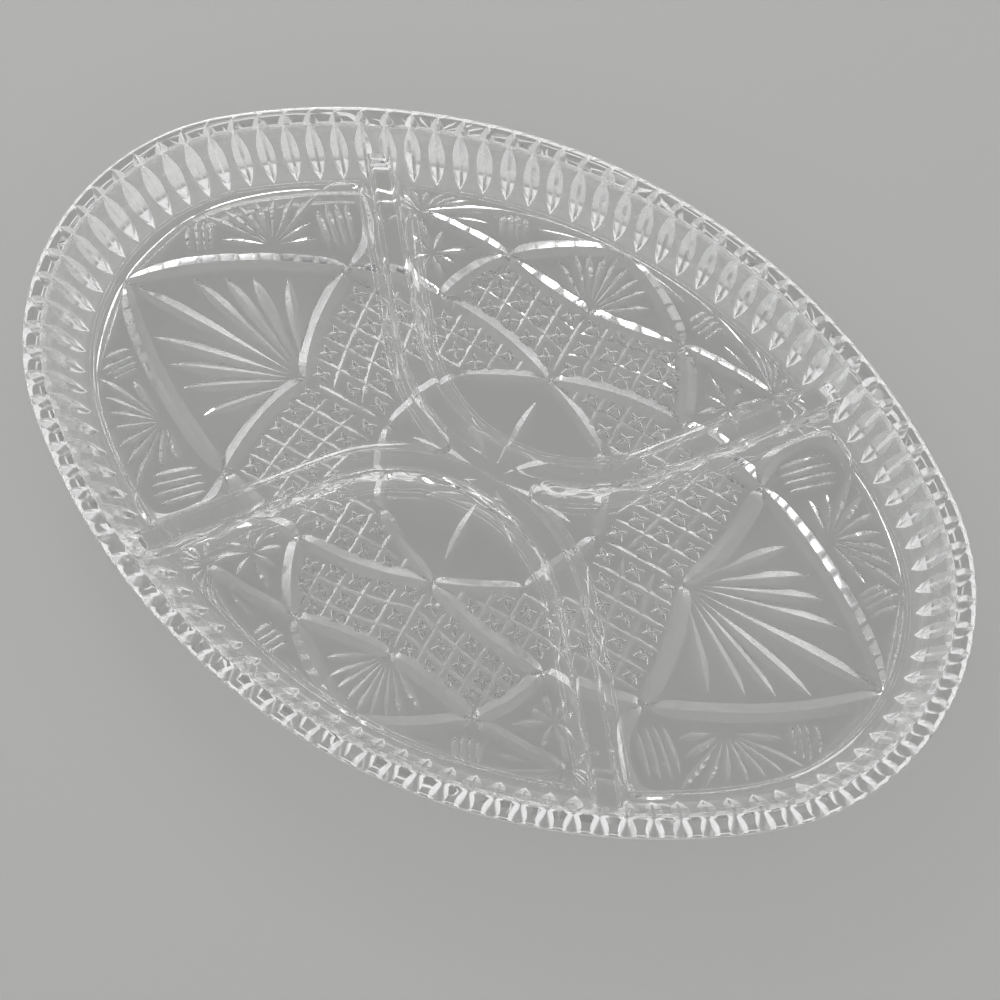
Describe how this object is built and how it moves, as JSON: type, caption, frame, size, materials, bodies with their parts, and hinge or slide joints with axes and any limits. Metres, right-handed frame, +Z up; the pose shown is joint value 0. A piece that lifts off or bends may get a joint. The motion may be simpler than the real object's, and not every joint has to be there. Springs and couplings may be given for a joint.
{
  "type": "divided relish tray",
  "caption": "Oval cut-style clear glass relish tray with curved dividers, a low lens-cut wall, a flat rim and a floor cut with straps, fans and stars.",
  "frame": {"origin": "middle of the flat underside, on the surface that the tray stands on", "axes": "+X along the tray's long axis, +Y across it towards the back wall, +Z up out of the bays"},
  "size_m": [0.318, 0.207, 0.037],
  "materials": {
    "clear_glass": "polished"
  },
  "bodies": {
    "root": {"floor": "clear_glass", "wall_back": "clear_glass", "wall_front": "clear_glass", "wall_left": "clear_glass", "wall_right": "clear_glass", "divider_hub": "clear_glass", "divider_arm_back_left": "clear_glass", "divider_arm_back_right": "clear_glass", "divider_arm_front_left": "clear_glass", "divider_arm_front_right": "clear_glass"}
  },
  "joints": []
}
